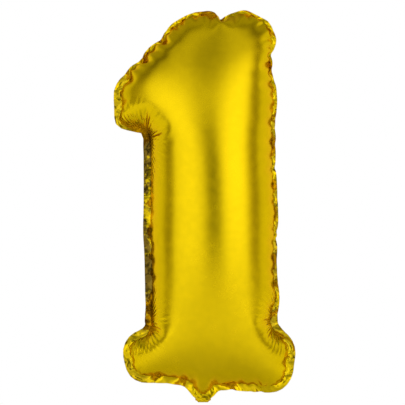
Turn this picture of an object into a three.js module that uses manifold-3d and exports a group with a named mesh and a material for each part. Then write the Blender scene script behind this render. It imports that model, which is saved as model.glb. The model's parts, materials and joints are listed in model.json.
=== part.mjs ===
// A foil number balloon in the shape of a 1, inflated. Two die-cut film panels are heat-sealed together round
// their edge, a self-sealing valve of two thin films runs through the neck, and a filling tail folds back behind it.
// Millimetres, +Z up. The seam lies in the plane y = 0 and the front panel faces -Y.
import * as THREE from "three";
import { mergeVertices } from "three/addons/utils/BufferGeometryUtils.js";
import Module from "manifold-3d";

// Seam outline. x is measured from the middle of the stem, z from the foot's lower edge at its right end.
const BODY_HEIGHT = 352; // lower edge of the foot to the top edge
const STEM_WIDTH = 112;
const FLAG_REACH = 29.5; // how far the flag stands out from the stem
const FLAG_DROP = 106; // top edge down to the flag's underside, where that meets the stem
const FLAG_SAG = 7; // how far the underside rises towards the flag's tip
const FLAG_END = 31; // height of the flag's blunt end
const TOP_WIDTH = 78; // from the stem's right side to the flag's slope
const FOOT_REACH_LEFT = 22;
const FOOT_REACH_RIGHT = 19;
const FOOT_HEIGHT = 44;
const FOOT_RISE = 14; // how much higher the foot's lower edge is under the stem's left side
const SHOULDER = 9; // how much higher the foot's top is against the stem than at its ends
const NECK_OFFSET = -8; // the neck's centre, from the middle of the stem
const NECK_RUN = 10; // sideways run of each side of the funnel
const NECK_DROP = 5; // how far the funnel reaches below the foot's lower edge at its right end

const TOP_ROUND = 20;
const FLAG_SHOULDER_ROUND = 26;
const FLAG_TIP_ROUND = 9;
const FOOT_ROUND_LEFT = 9;
const FOOT_ROUND_RIGHT = 15;
const NECK_TIP_ROUND = 4;
const INNER_ROUND = 6; // the cut edge's radius in an inner corner

// Films, seal and clearances.
const FILM = 0.4;
const FLANGE_WIDTH = 7;
const VALVE_FILM = 0.3;
const CLEARANCE = 0.3; // between pieces that touch
const VALVE_LENGTH = 84; // from the neck's cut edge up into the envelope
const VALVE_ROUND = 3;
const TAIL_WIDTH = 15;
const TAIL_LENGTH = 24;
const TAIL_START = 0.6; // from the fold down to the tail's films
const TAIL_SEAL = 3; // width of the seal along each side of the tail
const TAIL_ROUND = 3;
const TAIL_FOLD = THREE.MathUtils.degToRad(98); // from hanging straight down, towards the back
const FULLNESS = 0.95; // depth of the inflated section as a share of a full circle's

// Mesh steps.
const EDGE_STEP = 7.5;
const ARC_STEP = THREE.MathUtils.degToRad(20);
const RINGS = [1.6, 5.5, 11.5]; // rows of points near the seam, where the section is steepest
const GRID = 9.5;

const STEM_SIDE = STEM_WIDTH / 2;
const HALF_GAP = (2 * VALVE_FILM + 3 * CLEARANCE) / 2; // the valve's two films pass between the flanges
const STACK = 2 * (HALF_GAP + FILM);
const FOLD_DROP = Math.hypot(STACK / 2, TAIL_START) + CLEARANCE; // cut edge to fold, clear of the tail's corners
const VALVE_WIDTH = TAIL_WIDTH - 2 * TAIL_SEAL - 2 * CLEARANCE;
const INNER_CORNER = FLANGE_WIDTH + INNER_ROUND;
const CUT_EDGE = -NECK_DROP - FLANGE_WIDTH; // height of the neck's cut edge

const wasm = await Module();
wasm.setup();

/** The seam's corners, anticlockwise seen from the front, each with the radius that rounds it. */
function seamCorners() {
  const right = STEM_SIDE;
  const left = -STEM_SIDE;
  const flagTip = left - FLAG_REACH;
  const underside = BODY_HEIGHT - FLAG_DROP;
  const footLeft = left - FOOT_REACH_LEFT;
  const footRight = right + FOOT_REACH_RIGHT;
  const lowerEdge = (x) => (FOOT_RISE * (right - x)) / STEM_WIDTH;
  // The funnel's sides slope, so its tip is a little narrower than the tail for the cut edge to meet the tail.
  const slope = Math.atan2(NECK_DROP + lowerEdge(NECK_OFFSET), NECK_RUN);
  const tip = TAIL_WIDTH / 2 - FLANGE_WIDTH * Math.tan(slope / 2);
  const root = tip + NECK_RUN;
  return [
    [NECK_OFFSET + tip, -NECK_DROP, NECK_TIP_ROUND],
    [NECK_OFFSET + root, lowerEdge(NECK_OFFSET + root), INNER_CORNER],
    [footRight - FOOT_ROUND_RIGHT / 2, 0, FOOT_ROUND_RIGHT],
    [footRight, FOOT_HEIGHT, FOOT_ROUND_RIGHT],
    [right, FOOT_HEIGHT + SHOULDER, INNER_CORNER],
    [right, BODY_HEIGHT, TOP_ROUND],
    [right - TOP_WIDTH, BODY_HEIGHT, FLAG_SHOULDER_ROUND],
    [flagTip, underside + FLAG_SAG + FLAG_END, FLAG_TIP_ROUND],
    [flagTip, underside + FLAG_SAG, FLAG_TIP_ROUND],
    [left, underside, INNER_CORNER],
    [left, FOOT_HEIGHT + SHOULDER, INNER_CORNER],
    [footLeft, FOOT_HEIGHT, FOOT_ROUND_LEFT],
    [footLeft + FOOT_ROUND_LEFT / 2, lowerEdge(left), FOOT_ROUND_LEFT],
    [NECK_OFFSET - root, lowerEdge(NECK_OFFSET - root), INNER_CORNER],
    [NECK_OFFSET - tip, -NECK_DROP, NECK_TIP_ROUND],
  ].map(([x, z, round]) => ({ at: new THREE.Vector2(x, z), round }));
}

/** Points round an outline of rounded corners, each with its outward normal. */
function roundedOutline(corners) {
  const samples = [];
  const arcs = corners.map(({ at, round }, i) => {
    const before = corners[(i + corners.length - 1) % corners.length].at;
    const after = corners[(i + 1) % corners.length].at;
    const into = at.clone().sub(before).normalize();
    const out = after.clone().sub(at).normalize();
    const turn = Math.atan2(into.cross(out), into.dot(out));
    const reach = round * Math.tan(Math.abs(turn) / 2);
    const side = Math.sign(turn);
    const start = at.clone().addScaledVector(into, -reach);
    const centre = start.clone().add(new THREE.Vector2(-into.y, into.x).multiplyScalar(side * round));
    return { start, end: at.clone().addScaledVector(out, reach), centre, turn, side, into };
  });
  arcs.forEach((arc, i) => {
    const steps = Math.max(2, Math.ceil(Math.abs(arc.turn) / ARC_STEP));
    for (let k = 0; k <= steps; k++) {
      const at = arc.start.clone().rotateAround(arc.centre, (arc.turn * k) / steps);
      const normal = at.clone().sub(arc.centre).normalize().multiplyScalar(arc.side);
      samples.push({ at, normal });
    }
    const next = arcs[(i + 1) % arcs.length];
    const length = arc.end.distanceTo(next.start);
    const parts = Math.max(1, Math.round(length / EDGE_STEP));
    const normal = new THREE.Vector2(next.into.y, -next.into.x);
    for (let k = 1; k < parts; k++) {
      samples.push({ at: arc.end.clone().lerp(next.start, k / parts), normal });
    }
  });
  return samples;
}

function isInside(point, ring) {
  let inside = false;
  for (let i = 0, j = ring.length - 1; i < ring.length; j = i++) {
    const a = ring[i];
    const b = ring[j];
    const crosses = a.y > point.y !== b.y > point.y;
    if (crosses && point.x < a.x + ((b.x - a.x) * (point.y - a.y)) / (b.y - a.y)) inside = !inside;
  }
  return inside;
}

function distanceTo(ring, point) {
  const nearest = new THREE.Vector2();
  return Math.min(
    ...ring.map((a, i) => {
      const along = ring[(i + 1) % ring.length].clone().sub(a);
      const share = point.clone().sub(a).dot(along) / along.lengthSq();
      nearest.copy(a).addScaledVector(along, THREE.MathUtils.clamp(share, 0, 1));
      return nearest.distanceTo(point);
    }),
  );
}

/** Points inside the seam: rows that follow it closely, then an even triangular grid. */
function interiorPoints(samples, ring) {
  const points = [];
  RINGS.forEach((depth, row) => {
    const rowPoints = [];
    samples.forEach((sample, i) => {
      const next = samples[(i + 1) % samples.length];
      const share = row % 2 ? 0 : 0.5;
      const normal = sample.normal.clone().lerp(next.normal, share).normalize();
      const point = sample.at.clone().lerp(next.at, share).addScaledVector(normal, -depth);
      const apart = rowPoints.every((other) => other.distanceTo(point) > 0.45 * EDGE_STEP);
      if (apart && isInside(point, ring) && distanceTo(ring, point) > 0.93 * depth) rowPoints.push(point);
    });
    points.push(...rowPoints);
  });
  const box = new THREE.Box2().setFromPoints(ring);
  const margin = RINGS.at(-1) + 0.6 * GRID;
  const rowHeight = (GRID * Math.sqrt(3)) / 2;
  for (let row = 0, z = box.min.y; z < box.max.y; z += rowHeight, row++) {
    for (let x = box.min.x + (row % 2) * (GRID / 2); x < box.max.x; x += GRID) {
      // The small shift keeps four grid points from lying on one circle.
      const point = new THREE.Vector2(x + 0.05 * Math.sin(7 * row + x), z + 0.05 * Math.sin(5 * x + row));
      if (isInside(point, ring) && distanceTo(ring, point) > margin) points.push(point);
    }
  }
  return points;
}

/** Delaunay triangles of a point set, by adding one point at a time. */
function delaunay(points) {
  const far = 50 * BODY_HEIGHT;
  const all = [
    ...points,
    new THREE.Vector2(-far, -far),
    new THREE.Vector2(far, -far),
    new THREE.Vector2(0, far),
  ];
  const withCircle = (a, b, c) => {
    const ab = all[b].clone().sub(all[a]);
    const ac = all[c].clone().sub(all[a]);
    const twice = 2 * ab.cross(ac);
    const x = (ac.y * ab.lengthSq() - ab.y * ac.lengthSq()) / twice;
    const y = (ab.x * ac.lengthSq() - ac.x * ab.lengthSq()) / twice;
    return { a, b, c, x: all[a].x + x, y: all[a].y + y, r2: x * x + y * y };
  };
  const n = points.length;
  let triangles = [withCircle(n, n + 1, n + 2)];
  points.forEach((point, p) => {
    const edges = new Map();
    triangles = triangles.filter((t) => {
      if ((point.x - t.x) ** 2 + (point.y - t.y) ** 2 > t.r2 * (1 - 1e-9)) return true;
      for (const [i, j] of [[t.a, t.b], [t.b, t.c], [t.c, t.a]]) {
        const key = i < j ? `${i} ${j}` : `${j} ${i}`;
        if (edges.has(key)) edges.delete(key);
        else edges.set(key, [i, j]);
      }
      return false;
    });
    for (const [i, j] of edges.values()) triangles.push(withCircle(i, j, p));
  });
  return triangles.filter((t) => Math.max(t.a, t.b, t.c) < n).map((t) => [t.a, t.b, t.c]);
}

/**
 * The sheet's plan: points and triangles inside the seam, then the flange round it. The seam's points come
 * first, and the flange's outer points last.
 */
function sheetPlan() {
  const samples = roundedOutline(seamCorners());
  const ring = samples.map((s) => s.at);
  const inner = [...ring, ...interiorPoints(samples, ring)];
  const centroid = new THREE.Vector2();
  const film = delaunay(inner).filter(([a, b, c]) => {
    centroid.copy(inner[a]).add(inner[b]).add(inner[c]).divideScalar(3);
    const area = inner[b].clone().sub(inner[a]).cross(inner[c].clone().sub(inner[a]));
    return Math.abs(area) > 0.01 && isInside(centroid, ring);
  });
  const n = ring.length;
  const edge = samples.map((s) => s.at.clone().addScaledVector(s.normal, FLANGE_WIDTH));
  const flange = ring.flatMap((_, i) => {
    const j = (i + 1) % n;
    const first = inner.length;
    return [[i, first + i, first + j], [i, first + j, j]];
  });
  return { points: [...inner, ...edge], ring, edge, film, flange, innerCount: inner.length };
}

/**
 * Depth of the inflated film at each point. A membrane under even pressure has u with laplacian -1 and u = 0 on
 * the seam, and the square root of 2u is a half circle across a long strip. u is solved on the triangles with
 * cotangent weights.
 */
function pillowDepths({ points, ring, film, innerCount }) {
  const weights = Array.from({ length: innerCount }, () => new Map());
  const areas = new Float64Array(innerCount);
  for (const triangle of film) {
    triangle.forEach((c, k) => {
      const a = triangle[(k + 1) % 3];
      const b = triangle[(k + 2) % 3];
      const ca = points[a].clone().sub(points[c]);
      const cb = points[b].clone().sub(points[c]);
      const doubleArea = Math.abs(ca.cross(cb));
      const weight = ca.dot(cb) / doubleArea / 2;
      weights[a].set(b, (weights[a].get(b) ?? 0) + weight);
      weights[b].set(a, (weights[b].get(a) ?? 0) + weight);
      areas[c] += doubleArea / 6;
    });
  }
  const u = new Float64Array(innerCount);
  const overRelax = 1.85;
  const sweeps = 600;
  for (let sweep = 0; sweep < sweeps; sweep++) {
    for (let i = ring.length; i < innerCount; i++) {
      let sum = areas[i];
      let total = 0;
      for (const [j, weight] of weights[i]) {
        sum += weight * u[j];
        total += weight;
      }
      u[i] += overRelax * (sum / total - u[i]);
    }
  }
  return Array.from(u, (value) => FULLNESS * Math.sqrt(2 * Math.max(value, 0)));
}

/** A closed shell from a sheet's outer and inner positions, with a rim along its free edge. */
function shellGeometry(outer, inner, triangles, facing) {
  const n = outer.length;
  const faces = triangles.map((t) => (facing > 0 ? t : [t[0], t[2], t[1]]));
  const directed = new Set(faces.flatMap(([a, b, c]) => [`${a} ${b}`, `${b} ${c}`, `${c} ${a}`]));
  const rim = faces.flatMap(([a, b, c]) =>
    [[a, b], [b, c], [c, a]]
      .filter(([i, j]) => !directed.has(`${j} ${i}`))
      .flatMap(([i, j]) => [[j, i, n + i], [j, n + i, n + j]]),
  );
  const index = [...faces, ...faces.map(([a, b, c]) => [n + a, n + c, n + b]), ...rim].flat();
  const geometry = new THREE.BufferGeometry().setFromPoints([...outer, ...inner]);
  geometry.setIndex(index);
  geometry.computeVertexNormals();
  return geometry;
}

/** One panel: flange and inflated film in one sheet. side is -1 for the front and +1 for the back. */
function panelGeometry(plan, depths, side) {
  const { points, ring, film, flange, innerCount } = plan;
  const face = side * (HALF_GAP + FILM);
  const outer = points.map((p, i) => new THREE.Vector3(p.x, face + side * (depths[i] ?? 0), p.y));
  const triangles = [...film, ...flange].map(([a, b, c]) => {
    const turned = points[b].clone().sub(points[a]).cross(points[c].clone().sub(points[a]));
    return turned > 0 ? [a, b, c] : [a, c, b];
  });
  const pillow = new THREE.BufferGeometry().setFromPoints(outer);
  pillow.setIndex(triangles.slice(0, film.length).flat());
  pillow.computeVertexNormals();
  const normals = pillow.getAttribute("normal");
  const inner = outer.map((p, i) => {
    if (i >= innerCount) return p.clone().setY(side * HALF_GAP);
    const normal = new THREE.Vector3().fromBufferAttribute(normals, i);
    const inward = normal.multiplyScalar(-FILM * Math.sign(normal.y * side || side));
    if (i >= ring.length) return p.clone().add(inward);
    // On the seam the wall turns from the flange into the film: step in by one thickness each way.
    const across = inward.setY(0).setLength(FILM);
    return p.clone().add(across).setY(side * HALF_GAP);
  });
  // In the plan, x to the right and z up turn anticlockwise as seen from the front, which is the -Y side.
  return shellGeometry(outer, inner, triangles, -side);
}

/** A flat outline in the x-z plane, as thick as given and centred on y. */
function plateGeometry(shape, thickness, y) {
  const geometry = new THREE.ExtrudeGeometry(shape, { depth: thickness, bevelEnabled: false, curveSegments: 4 });
  geometry.rotateX(Math.PI / 2);
  geometry.translate(0, y + thickness / 2, 0);
  return geometry;
}

function solidFrom(geometry) {
  const bare = geometry.clone();
  bare.deleteAttribute("normal");
  bare.deleteAttribute("uv");
  const merged = mergeVertices(bare, 1e-4);
  return new wasm.Manifold(
    new wasm.Mesh({
      numProp: 3,
      vertProperties: new Float32Array(merged.getAttribute("position").array),
      triVerts: new Uint32Array(merged.index.array),
    }),
  );
}

function geometryFrom(solid) {
  const { vertProperties, triVerts } = solid.getMesh();
  const geometry = new THREE.BufferGeometry();
  geometry.setAttribute("position", new THREE.BufferAttribute(vertProperties, 3));
  geometry.setIndex(new THREE.BufferAttribute(triVerts, 1));
  geometry.computeVertexNormals();
  return geometry;
}

/** The fused band between the two flanges, left open where the valve's films pass through it. */
function perimeterSealGeometry({ ring, edge }) {
  const shape = new THREE.Shape(edge);
  shape.holes.push(new THREE.Path(ring));
  const band = plateGeometry(shape, 2 * (HALF_GAP - CLEARANCE), 0);
  const slot = new THREE.BoxGeometry(VALVE_WIDTH + 2 * CLEARANCE, 4 * HALF_GAP, 4 * FLANGE_WIDTH);
  slot.translate(NECK_OFFSET, 0, CUT_EDGE);
  return geometryFrom(solidFrom(band).subtract(solidFrom(slot)));
}

/** A strip hanging from z = top, with both lower or both upper corners rounded. */
function stripShape(width, top, length, wantedRound, roundTop) {
  const half = width / 2;
  const round = Math.min(wantedRound, 0.8 * half);
  const bottom = top - length;
  const shape = new THREE.Shape();
  if (roundTop) {
    shape.moveTo(-half, bottom);
    shape.lineTo(half, bottom);
    shape.absarc(half - round, top - round, round, 0, Math.PI / 2);
    shape.absarc(-half + round, top - round, round, Math.PI / 2, Math.PI);
  } else {
    shape.moveTo(half, top);
    shape.lineTo(-half, top);
    shape.absarc(-half + round, bottom + round, round, Math.PI, 1.5 * Math.PI);
    shape.absarc(half - round, bottom + round, round, 1.5 * Math.PI, 2 * Math.PI);
  }
  shape.closePath();
  return shape;
}

function material(color, roughness, metalness) {
  return new THREE.MeshStandardMaterial({ color, roughness, metalness });
}

const satinGold = material(0xd6b000, 0.34, 1);
const mirrorGold = material(0xc79a10, 0.14, 1);
const fusedFilm = material(0xb98f1a, 0.3, 0.8);
const clearFilm = material(0xe6e8ea, 0.25, 0);

function named(name, geometry, finish) {
  const mesh = new THREE.Mesh(geometry, finish);
  mesh.name = name;
  return mesh;
}

/** The two panels, the seal between their flanges and the valve's films. */
function makeEnvelope(plan) {
  const depths = pillowDepths(plan);
  const envelope = new THREE.Group();
  envelope.add(named("front_panel", panelGeometry(plan, depths, -1), satinGold));
  envelope.add(named("back_panel", panelGeometry(plan, depths, 1), mirrorGold));
  envelope.add(named("perimeter_seal", perimeterSealGeometry(plan), fusedFilm));
  const strip = stripShape(VALVE_WIDTH, CUT_EDGE + VALVE_LENGTH, VALVE_LENGTH, VALVE_ROUND, true);
  const offset = (CLEARANCE + VALVE_FILM) / 2;
  for (const [name, y] of [["valve_front_film", -offset], ["valve_back_film", offset]]) {
    const film = named(name, plateGeometry(strip, VALVE_FILM, y), clearFilm);
    film.position.x = NECK_OFFSET;
    envelope.add(film);
  }
  return envelope;
}

/** The filling tail: two films sealed along both sides and open at the end, turned about the fold. */
function makeTail() {
  const tail = new THREE.Group();
  const strip = stripShape(TAIL_WIDTH, -TAIL_START, TAIL_LENGTH, TAIL_ROUND, false);
  const offset = HALF_GAP + FILM / 2;
  tail.add(named("tail_front_film", plateGeometry(strip, FILM, -offset), satinGold));
  tail.add(named("tail_back_film", plateGeometry(strip, FILM, offset), mirrorGold));
  const sealLength = TAIL_LENGTH - 2 * TAIL_ROUND;
  for (const [name, side] of [["tail_seal_left", -1], ["tail_seal_right", 1]]) {
    const bar = stripShape(TAIL_SEAL, -TAIL_START, sealLength, TAIL_SEAL / 4, false);
    const seal = named(name, plateGeometry(bar, 2 * (HALF_GAP - CLEARANCE), 0), fusedFilm);
    seal.position.x = (side * (TAIL_WIDTH - TAIL_SEAL)) / 2;
    tail.add(seal);
  }
  tail.position.set(NECK_OFFSET, 0, CUT_EDGE - FOLD_DROP);
  tail.rotation.x = TAIL_FOLD;
  return tail;
}

const assembly = new THREE.Group();
assembly.add(makeEnvelope(sheetPlan()), makeTail());
assembly.position.sub(new THREE.Box3().setFromObject(assembly, true).getCenter(new THREE.Vector3()));

const balloon = new THREE.Group();
balloon.add(assembly);

export default balloon;
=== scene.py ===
"""The looks of an inflated foil balloon in the shape of a 1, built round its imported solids.

The two films are cut flat, sealed round their edge and blown up. Their triangles keep the lengths they were cut
to while even pressure pushes them out, so the seam draws in and the sealed edge gathers into scallops by itself.
Work is in millimetres on the cut sheet and in metres in the finished meshes.
"""

import json
import logging
import math
from dataclasses import dataclass, field
from enum import Enum
from typing import NamedTuple

import bpy
import numpy as np
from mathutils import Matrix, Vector
from mathutils.geometry import delaunay_2d_cdt


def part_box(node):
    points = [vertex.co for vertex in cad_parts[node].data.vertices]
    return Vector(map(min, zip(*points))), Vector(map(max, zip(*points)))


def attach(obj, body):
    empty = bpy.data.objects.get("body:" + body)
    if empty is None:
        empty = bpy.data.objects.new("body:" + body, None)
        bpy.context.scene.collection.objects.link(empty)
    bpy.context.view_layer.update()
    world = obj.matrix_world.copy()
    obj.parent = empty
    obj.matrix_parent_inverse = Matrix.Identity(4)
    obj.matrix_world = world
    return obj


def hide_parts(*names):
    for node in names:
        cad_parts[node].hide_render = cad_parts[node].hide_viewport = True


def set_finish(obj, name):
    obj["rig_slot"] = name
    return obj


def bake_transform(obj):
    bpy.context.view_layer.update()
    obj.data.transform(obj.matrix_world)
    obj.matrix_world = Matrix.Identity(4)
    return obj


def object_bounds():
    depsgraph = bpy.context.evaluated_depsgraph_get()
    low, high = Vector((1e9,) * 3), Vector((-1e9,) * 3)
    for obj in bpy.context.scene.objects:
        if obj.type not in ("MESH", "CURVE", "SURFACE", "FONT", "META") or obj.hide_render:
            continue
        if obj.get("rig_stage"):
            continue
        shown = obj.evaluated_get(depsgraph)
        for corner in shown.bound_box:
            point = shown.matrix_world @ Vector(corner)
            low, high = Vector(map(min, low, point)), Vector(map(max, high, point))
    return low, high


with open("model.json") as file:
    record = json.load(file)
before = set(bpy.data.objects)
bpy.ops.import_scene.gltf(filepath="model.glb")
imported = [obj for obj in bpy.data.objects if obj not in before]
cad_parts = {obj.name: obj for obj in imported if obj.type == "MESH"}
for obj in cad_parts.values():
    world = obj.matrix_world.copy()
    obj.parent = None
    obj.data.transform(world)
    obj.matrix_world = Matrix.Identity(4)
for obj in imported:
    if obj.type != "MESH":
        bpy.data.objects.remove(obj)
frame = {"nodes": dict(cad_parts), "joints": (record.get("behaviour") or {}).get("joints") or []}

log = logging.getLogger("foil balloon")
MM = 0.001
SHARP = math.radians(55)  # edges that turn further than this aren't shaded smooth
TINY = 1e-9  # keeps a length that something is divided by away from nothing


class Corner(NamedTuple):
    """A corner of the cut sheet's seam, in mm, with the radius that rounds it."""

    x: float
    z: float
    round: float


class Face(Enum):
    """Which side of the seam a film is on, as the sign of its y."""

    FRONT = -1
    BACK = 1


@dataclass(frozen=True)
class CutSheet:
    """The flat cut. x is from the middle of the stem and z from the foot's lower edge, once inflated."""

    corners: tuple[Corner, ...] = (
        Corner(-6, -21, 4),  # neck
        Corner(5, -16, 9),
        Corner(74, -9, 30),  # foot, right end
        Corner(88, 33, 30),
        Corner(80.5, 49.5, 50),
        Corner(86, 171, 500),  # stem, right side
        Corner(79, 279, 240),
        Corner(60.5, 363, 40),  # top
        Corner(-25.5, 368.5, 70),
        Corner(-67.5, 332.5, 100),  # flag
        Corner(-99.5, 296.5, 27),
        Corner(-105, 263, 7),
        Corner(-87, 243, 9),
        Corner(-86, 144, 450),  # stem, left side
        Corner(-79, 47.5, 22),
        Corner(-91, 32.5, 21),  # foot, left end
        Corner(-78.5, 2, 20),
        Corner(-26, -12, 9),
        Corner(-11, -21, 4),
    )
    flange: float = 7.0
    narrow: float = 3.2  # how much narrower the sealed edge is round the top and down the right side
    arc_points: int = 40  # on each corner's arc
    fine: float = 0.5  # spacing along an outline that others are measured from

    def seam(self, step: float) -> np.ndarray:
        """The seam itself: the outline moved outwards by however much narrower the sealed edge is there.

        Args:
            step: Spacing of the points along it, in mm.

        Returns:
            Points (n, 2), anticlockwise, evenly spaced.
        """
        inner, outer = self.outline(0, self.fine), self.outline(self.flange, self.fine)
        gap, turn = nearest(outer, inner)
        foot = outer[np.round(turn * len(outer)).astype(int) % len(outer)]
        x, z = inner.T
        top = ramp(z, 262, 282) * ramp(x, -96, -86)
        right = ramp(x, 50, 70) * ramp(z, 62, 82)
        share = np.maximum(top, right) * self.narrow / np.maximum(gap, 1e-6)
        return evenly(inner + (foot - inner) * share[:, None], step)

    def outline(self, grow: float, step: float) -> np.ndarray:
        """The closed outline of the seam, grown outwards.

        Each corner is an arc whose radius is the corner's own, plus the growth where the corner is convex and less
        it where the corner is concave, and straight lines join the arcs.

        Args:
            grow: Distance outwards from the seam, in mm.
            step: Spacing of the points along the outline, in mm.

        Returns:
            Points (n, 2), anticlockwise, evenly spaced.
        """
        at = np.array([[c.x, c.z] for c in self.corners])
        radius = np.array([c.round for c in self.corners])
        into = at - np.roll(at, 1, 0)
        into /= np.linalg.norm(into, axis=1)[:, None]
        out = np.roll(into, -1, 0)
        turn = np.arctan2(cross_2d(into, out), (into * out).sum(1))
        side = np.sign(turn)
        start = at - into * (radius * np.tan(np.abs(turn) / 2))[:, None]
        left = np.stack([-into[:, 1], into[:, 0]], 1) * side[:, None]
        centre = start + left * radius[:, None]
        share = np.linspace(0, 1, self.arc_points)
        angle = turn[:, None] * share
        reach = (radius + side * grow)[:, None]
        arm = -left
        x = centre[:, 0:1] + reach * (arm[:, 0:1] * np.cos(angle) - arm[:, 1:2] * np.sin(angle))
        z = centre[:, 1:2] + reach * (arm[:, 0:1] * np.sin(angle) + arm[:, 1:2] * np.cos(angle))
        return evenly(np.stack([x.ravel(), z.ravel()], 1), step)


def ramp(value: np.ndarray, start: float, end: float) -> np.ndarray:
    """The share of the way from the start to the end, held between 0 and 1.

    Args:
        value: Values of any shape.
        start: Where the share is 0.
        end: Where it is 1, above or below the start.

    Returns:
        The shares, in the values' shape.
    """
    return np.clip((value - start) / (end - start), 0, 1)


def evenly(loop: np.ndarray, step: float) -> np.ndarray:
    """Points spaced evenly by length round a closed loop.

    Args:
        loop: Points (n, 2) of the loop.
        step: The wanted spacing.

    Returns:
        Points (m, 2).
    """
    closed = np.vstack([loop, loop[:1]])
    length = np.r_[0, np.cumsum(np.linalg.norm(np.diff(closed, axis=0), axis=1))]
    count = round(length[-1] / step)
    at = np.arange(count) * length[-1] / count
    return np.stack([np.interp(at, length, closed[:, 0]), np.interp(at, length, closed[:, 1])], 1)


def inside(loop: np.ndarray, points: np.ndarray) -> np.ndarray:
    """Whether each point is inside a closed loop: a ray from it crosses the loop an odd number of times.

    Args:
        loop: Points (n, 2) of the loop.
        points: Points (m, 2).

    Returns:
        Booleans (m,).
    """
    a, b = loop[:, None], np.roll(loop, -1, 0)[:, None]
    x, z = points[:, 0], points[:, 1]
    spans = (a[..., 1] > z) != (b[..., 1] > z)
    rise = np.where(a[..., 1] == b[..., 1], 1.0, b[..., 1] - a[..., 1])
    cross = x < a[..., 0] + (b[..., 0] - a[..., 0]) * (z - a[..., 1]) / rise
    return (spans & cross).sum(0) % 2 == 1


def nearest(loop: np.ndarray, points: np.ndarray) -> tuple[np.ndarray, np.ndarray]:
    """Distance from each point to a closed loop of evenly spaced points, and the place along it.

    Args:
        loop: Points (n, 2) of the loop.
        points: Points (m, 2).

    Returns:
        The distances (m,) and the shares of the way round the loop (m,), from 0 to 1.
    """
    along = np.roll(loop, -1, 0) - loop
    size = (along**2).sum(1)
    away = points[:, None] - loop
    share = np.clip((away * along).sum(2) / size, 0, 1)
    gap = np.linalg.norm(away - share[..., None] * along, axis=2)
    best = gap.argmin(1)
    row = np.arange(len(points))
    return gap[row, best], (best + share[row, best]) / len(loop)


def cross_2d(one: np.ndarray, two: np.ndarray) -> np.ndarray:
    """Twice the signed area between flat vectors, positive where the second is to the left of the first.

    Args:
        one: Vectors (n, 2).
        two: Vectors (n, 2).

    Returns:
        The areas (n,).
    """
    return one[:, 0] * two[:, 1] - one[:, 1] * two[:, 0]


def sides(faces: np.ndarray) -> np.ndarray:
    """The sides of triangles, in the direction that each triangle goes round.

    Args:
        faces: Vertex numbers (n, 3).

    Returns:
        Vertex pairs (3n, 2): every first side, then every second and every third.
    """
    return np.vstack([faces[:, [0, 1]], faces[:, [1, 2]], faces[:, [2, 0]]])


def unique_edges(faces: np.ndarray) -> tuple[np.ndarray, np.ndarray]:
    """The edges of triangles, each once.

    Args:
        faces: Vertex numbers (n, 3).

    Returns:
        Vertex pairs (m, 2), and for each triangle the numbers of its three edges (n, 3).
    """
    pairs = np.sort(sides(faces), axis=1)
    edges, number = np.unique(pairs, axis=0, return_inverse=True)
    return edges, number.reshape(3, -1).T


@dataclass(frozen=True)
class Spell:
    """One spell of inflating: how many steps, how hard the air pushes, and how the film answers."""

    steps: int
    push: float  # mm a step
    keep: float  # share of the speed kept from step to step
    stiff: float = 0.0  # how far the film resists being shortened, from 0 to 1
    stiff_edge: float = 0.0  # the same for the sealed edge
    bend: float = 0.05  # how far it resists being folded
    flat: bool = False  # the sealed edge is held in its plane


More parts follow.
